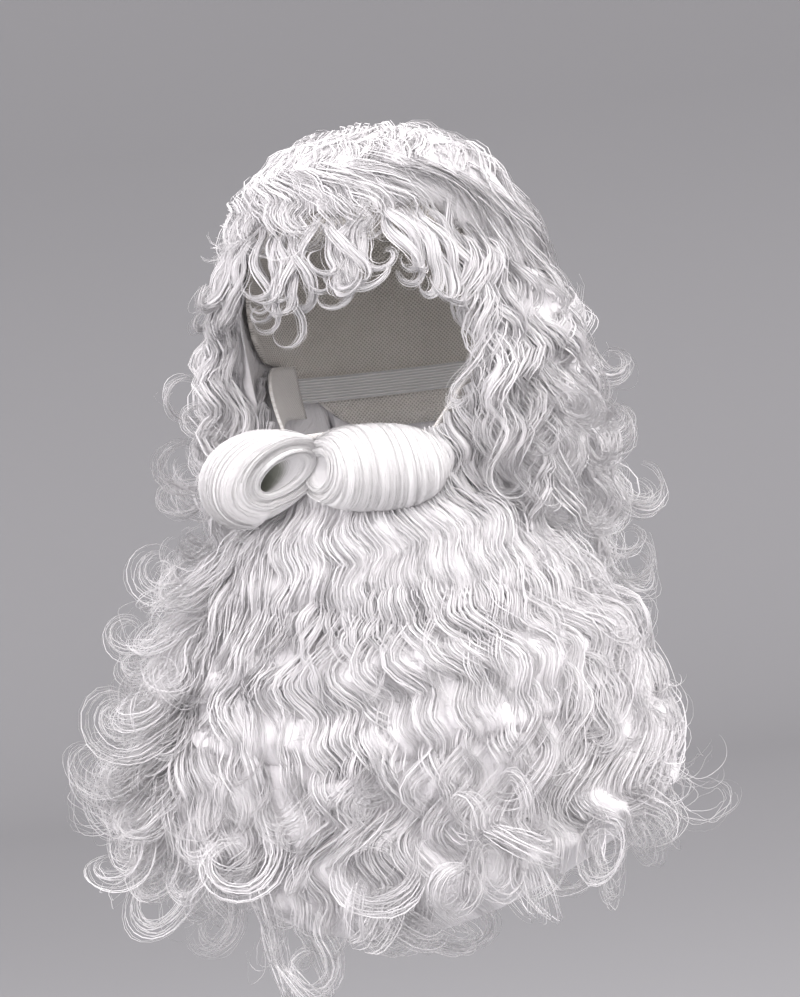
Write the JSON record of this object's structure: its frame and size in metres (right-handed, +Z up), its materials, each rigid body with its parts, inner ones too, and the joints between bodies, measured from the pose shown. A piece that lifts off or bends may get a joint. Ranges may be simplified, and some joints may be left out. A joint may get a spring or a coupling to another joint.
{
  "type": "wig and beard set",
  "caption": "Curled white wig on a net cap, with a long waved beard on a jaw cloth with an elastic, and a rolled moustache, laid out as worn.",
  "frame": {"origin": "inside of the wig's cap at the crown of the head", "axes": "+Z up, -Y the front, +X to the right of someone who looks at the front"},
  "size_m": [0.4137, 0.3634, 0.5321],
  "materials": {
    "hair": "curled synthetic fibre, satin",
    "combed_hair": "combed synthetic fibre, glossy",
    "net_cloth": "matt knitted net",
    "elastic": "matt woven elastic"
  },
  "bodies": {
    "root": {"wig_cap": "net_cloth", "beard_base": "net_cloth", "beard_strap": "elastic", "moustache_base": "net_cloth", "wig_crown": "hair", "moustache_left_roll": "combed_hair", "moustache_right_roll": "combed_hair", "wig_fringe": "hair", "wig_side_left": "hair", "wig_side_right": "hair", "wig_back": "hair", "beard_cheek_left": "hair", "beard_cheek_right": "hair", "beard_upper_tier": "hair", "beard_middle_tier": "hair", "beard_lower_tier": "hair"}
  },
  "joints": []
}
